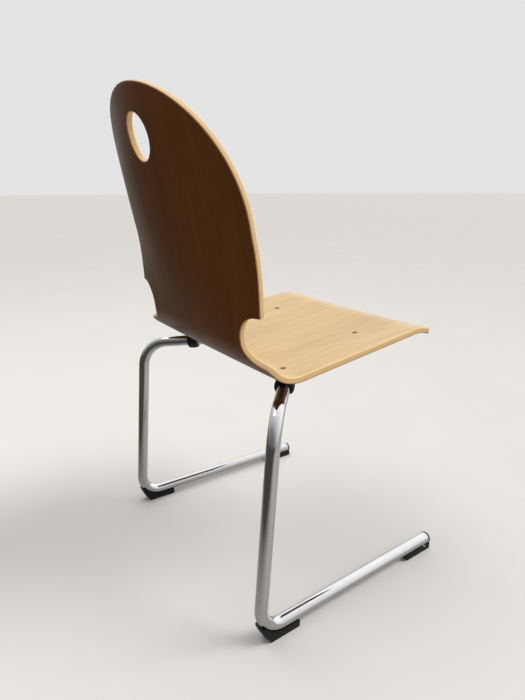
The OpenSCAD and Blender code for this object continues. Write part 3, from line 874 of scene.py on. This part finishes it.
def build_floor():
    """Pale floor. Shiny parts mirror it darker, most of all behind the chair, so that their shape reads."""
    n = Nodes("floor")
    at = n.object_place()
    wear = n.noise(at, 3.0)
    pale = n.blend(wear, (0.58, 0.56, 0.53), (0.62, 0.60, 0.57))
    # painted reflection: glossy rays see the floor dark, darkest behind the chair, while the camera sees it
    # pale
    behind = n.span(n.add("SeparateXYZ", {"Vector": at}).outputs["Y"], 0.15, 0.60)
    mirrored = n.blend(behind, (0.33, 0.315, 0.29), (0.03, 0.026, 0.022))
    tone = n.blend(n.add("LightPath").outputs["Is Glossy Ray"], pale, mirrored)
    material = n.finish(Base_Color=tone, Roughness=0.9)
    mesh = bpy.data.meshes.new("floor")
    ring = [(x, y, 0) for x, y in circle((0.0, 0.0), FLOOR_R, FLOOR_SIDES)]
    mesh.from_pydata(ring, [], [list(range(FLOOR_SIDES))])
    mesh.materials.append(material)
    floor = bpy.data.objects.new("floor", mesh)
    bpy.context.scene.collection.objects.link(floor)


def build_world():
    """Soft room light: bright towards the window side and overhead, dark on the far side of the room.

    The camera itself sees an even pale wall.
    """
    world = bpy.data.worlds.new("studio")
    world.use_nodes = True
    tree = world.node_tree
    background = tree.nodes["Background"]
    direction = tree.nodes.new("ShaderNodeTexCoord").outputs["Generated"]
    side = tree.nodes.new("ShaderNodeVectorMath")
    side.operation = "DOT_PRODUCT"
    side.inputs[1].default_value = WINDOW_SIDE
    tree.links.new(direction, side.inputs[0])
    nearness = tree.nodes.new("ShaderNodeMapRange")
    nearness.inputs["From Min"].default_value = -1.0
    tree.links.new(side.outputs["Value"], nearness.inputs["Value"])
    ramp = tree.nodes.new("ShaderNodeValToRGB")
    tree.links.new(nearness.outputs["Result"], ramp.inputs["Fac"])
    elements = ramp.color_ramp.elements
    while len(elements) < len(WORLD_LEVELS):
        elements.new(0.5)
    for element, (position, level) in zip(elements, WORLD_LEVELS):
        element.position = position
        element.color = (level, level, level * 1.01, 1)
    wall = tree.nodes.new("ShaderNodeMix")
    wall.data_type = "RGBA"
    wall.inputs["B"].default_value = WALL_COLOUR
    tree.links.new(tree.nodes.new("ShaderNodeLightPath").outputs["Is Camera Ray"], wall.inputs["Factor"])
    tree.links.new(ramp.outputs["Color"], wall.inputs["A"])
    tree.links.new(wall.outputs["Result"], background.inputs["Color"])
    background.inputs["Strength"].default_value = WORLD_STRENGTH
    bpy.context.scene.world = world
    bpy.context.scene.view_settings.view_transform = "Standard"


build_shell(beech_face(), stained_back(), ply_edge())

bright_chrome = chrome()
black = plastic()
bright_zinc = zinc("zinc", (0.60, 0.60, 0.61))
dark_zinc = zinc("screw_metal", (0.22, 0.22, 0.225))
weld = weld_metal()
for word, side in SIDES.items():
    build_tube(word, side, bright_chrome)
    weld_bead("weld_front_" + word, side, FRONT_CROSS_RUN, weld)
    weld_bead("weld_rear_" + word, side, REAR_CROSS_RUN, weld)
    for end in ("front", "rear"):
        softened(f"{end}_saddle_{word}", f"saddle_{end}_{word}", "black_plastic", black, 1.0)
        softened(f"{end}_screw_{word}", f"screw_{end}_{word}", "screw_steel", dark_zinc, 0.3)
        softened(f"{end}_glide_{word}", f"glide_{end}_{word}", "black_plastic", black, 1.2)
    softened("arm_plug_" + word, "plug_arm_" + word, "black_plastic", black, 0.6)
    softened("front_glide_pin_" + word, "pin_front_" + word, "zinc_steel", bright_zinc, 0.5)
    softened("rear_glide_peg_" + word, "peg_rear_" + word, "zinc_steel", bright_zinc, 0.4)

for node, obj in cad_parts.items():
    if "cross_tube" in node:
        obj.data.materials.clear()
        obj.data.materials.append(bright_chrome)
    elif "rivet_nut" in node:
        obj.data.materials.clear()
        obj.data.materials.append(bright_zinc)

build_floor()
build_world()
build_sun(towards=(-0.55, -0.75, 0.95), strength=1.9, tone=(1.0, 0.985, 0.96))
build_light("fill", at=(-2.0, 1.9, 1.6), size=(1.2, 1.2), power=9, tone=(0.95, 0.97, 1.0), mirrored=False)
build_light("top", at=(0.9, 0.4, 2.8), size=(1.6, 1.6), power=22)
build_camera()
